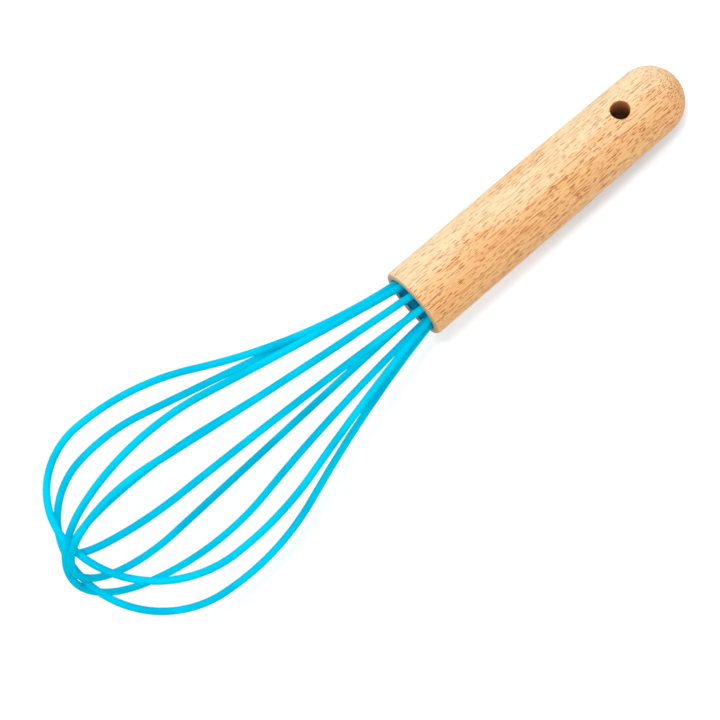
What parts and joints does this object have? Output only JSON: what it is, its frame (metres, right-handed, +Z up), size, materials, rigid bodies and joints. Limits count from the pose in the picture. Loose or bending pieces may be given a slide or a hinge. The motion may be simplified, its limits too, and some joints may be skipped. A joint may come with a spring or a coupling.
{
  "type": "balloon whisk",
  "caption": "Hand whisk with a turned wooden handle, a hanging hole and a balloon of silicone-coated spring wire loops for beating and mixing.",
  "frame": {"origin": "middle of the footprint of the whisk as it lies on a table, on the table's surface", "axes": "+X towards the tip of the balloon, along the length of the lying whisk; +Z up from the table; the whisk's own axis rises about 7 degrees towards the balloon, because it rests on the end of the butt and on two arms"},
  "size_m": [0.2524, 0.0724, 0.0698],
  "materials": {
    "beech": "sanded, satin, lightly oiled",
    "blue_silicone": "smooth, soft satin",
    "potting_resin": "cast, dull",
    "spring_steel": "drawn wire"
  },
  "bodies": {
    "root": {"handle": "beech", "mouth_plug": "blue_silicone", "potting": "potting_resin", "silicone_sleeve_1": "blue_silicone", "silicone_sleeve_2": "blue_silicone", "silicone_sleeve_3": "blue_silicone", "silicone_sleeve_4": "blue_silicone", "silicone_sleeve_5": "blue_silicone", "wire_core_1": "spring_steel", "wire_core_2": "spring_steel", "wire_core_3": "spring_steel", "wire_core_4": "spring_steel", "wire_core_5": "spring_steel"}
  },
  "joints": []
}
